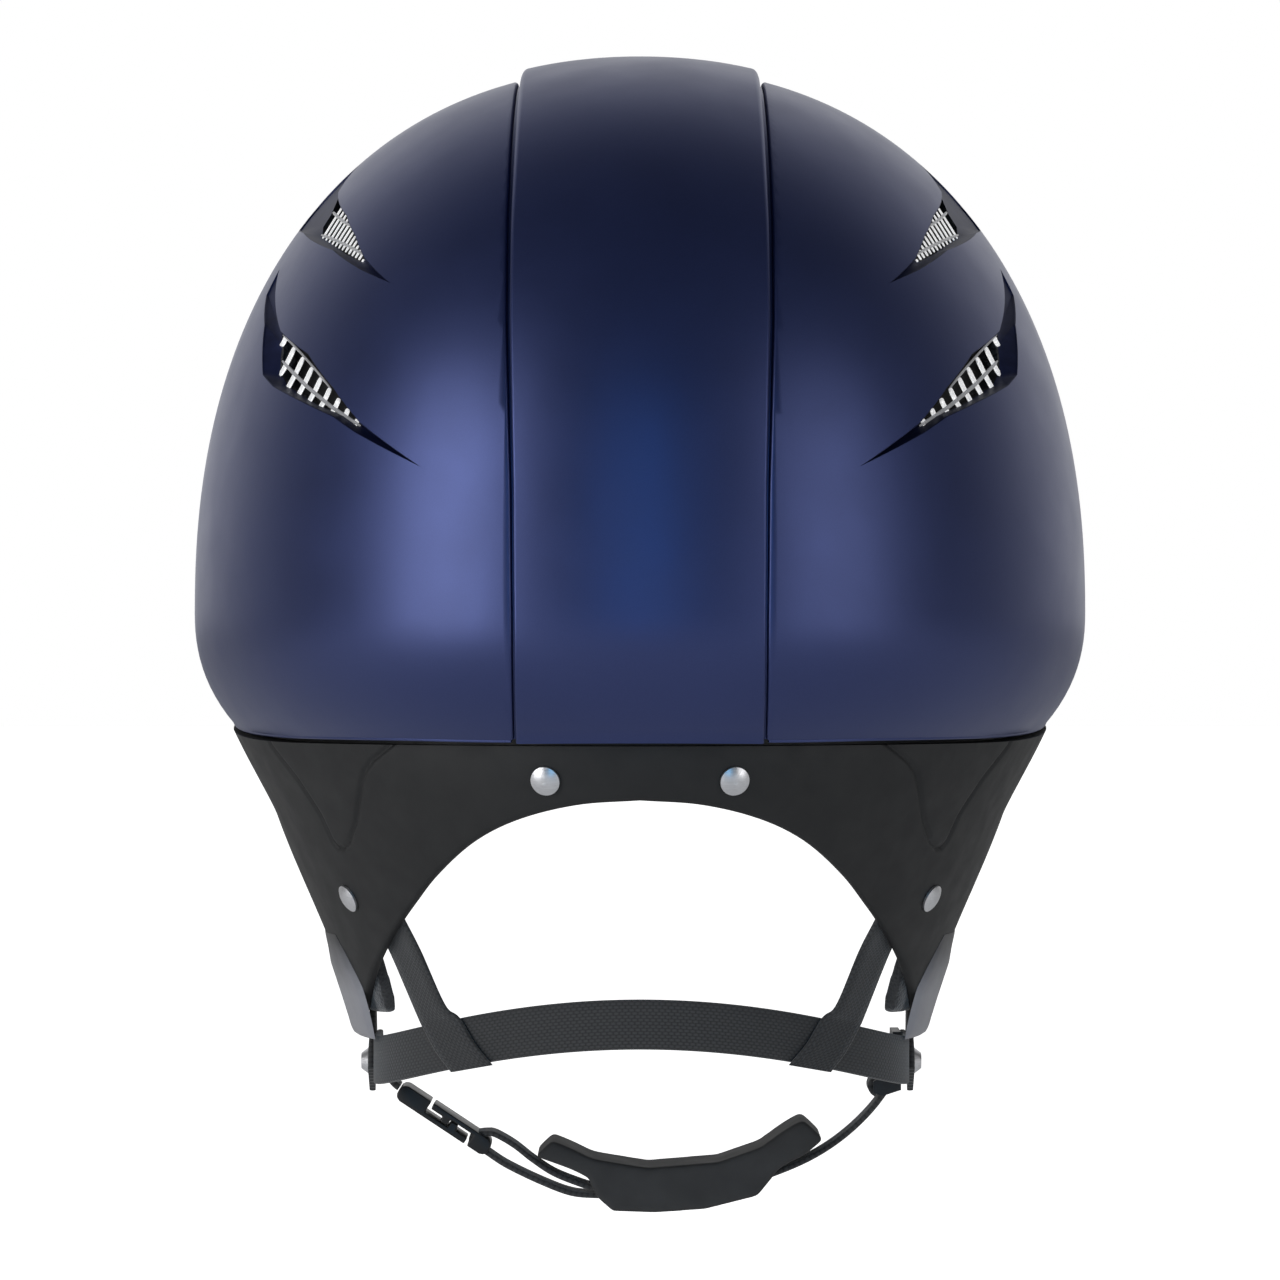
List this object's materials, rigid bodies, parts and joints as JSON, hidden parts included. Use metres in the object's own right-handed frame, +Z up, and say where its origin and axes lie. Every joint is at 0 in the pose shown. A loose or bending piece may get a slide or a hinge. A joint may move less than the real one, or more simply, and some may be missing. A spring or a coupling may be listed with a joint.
{
  "type": "riding helmet",
  "caption": "Riding helmet: navy shell with raised crown panel, scooped mesh vents, black nape cradle, webbing harness with hook buckle and chin pad.",
  "frame": {"origin": "centre of the head opening, level with the shell's rear lower edge", "axes": "+Z up, +Y towards the wearer's front, +X to the wearer's right"},
  "size_m": [0.23, 0.314, 0.2975],
  "materials": {
    "shell_navy": "satin metallic moulded shell",
    "foam": "matt foamed polystyrene",
    "lining": "brushed knit over foam",
    "cradle_black": "matt moulded skirt",
    "ear_grey": "satin grey moulding",
    "webbing_black": "woven webbing",
    "stud_steel": "satin",
    "mesh_silver": "bright mesh",
    "buckle_black": "moulded",
    "pad_black": "soft matt"
  },
  "bodies": {
    "helmet": {"outer_shell": "shell_navy", "crown_panel": "shell_navy", "peak": "shell_navy", "impact_liner": "foam", "headband": "lining", "crown_pad": "lining", "nape_cradle": "cradle_black", "cradle_rivets": "stud_steel", "nape_band": "webbing_black", "ear_cover_left": "ear_grey", "ear_pad_left": "lining", "front_strap_left": "webbing_black", "rear_strap_left": "webbing_black", "harness_rivet_left": "stud_steel", "vent_grille_upper_left": "mesh_silver", "vent_grille_lower_left": "mesh_silver", "vent_grille_front_left": "mesh_silver", "ear_cover_right": "ear_grey", "ear_pad_right": "lining", "front_strap_right": "webbing_black", "rear_strap_right": "webbing_black", "harness_rivet_right": "stud_steel", "vent_grille_upper_right": "mesh_silver", "vent_grille_lower_right": "mesh_silver", "vent_grille_front_right": "mesh_silver"},
    "chin_tab_body": {"chin_tab_left": "webbing_black", "buckle_hook_left": "buckle_black"},
    "slide_body": {"slide_adjuster_right": "buckle_black"},
    "strap_body": {"chin_strap": "webbing_black", "buckle_hook_right": "buckle_black"},
    "pad_body": {"chin_pad": "pad_black"}
  },
  "joints": [
    {"name": "chin_swing_left", "type": "hinge", "parent": "helmet", "child": "chin_tab_body", "pos_m": [-0.0658, 0, -0.084], "axis": [1, 0, 0], "range_deg": [-40, 55]},
    {"name": "chin_swing_right", "type": "hinge", "parent": "helmet", "child": "slide_body", "pos_m": [0.0662, 0, -0.084], "axis": [1, 0, 0], "range_deg": [-40, 55]},
    {"name": "buckle_release", "type": "hinge", "parent": "slide_body", "child": "strap_body", "pos_m": [0.0617, 0, -0.0903], "axis": [0, -1, 0], "range_deg": [0, 50]},
    {"name": "chin_pad_slide", "type": "hinge", "parent": "strap_body", "child": "pad_body", "pos_m": [0.0047, 0, -0.0301], "axis": [0, -1, 0], "range_deg": [-1.5, 3]}
  ],
  "couplings": [
    {"joint": "chin_swing_right", "follows": "chin_swing_left", "ratio": 1}
  ]
}
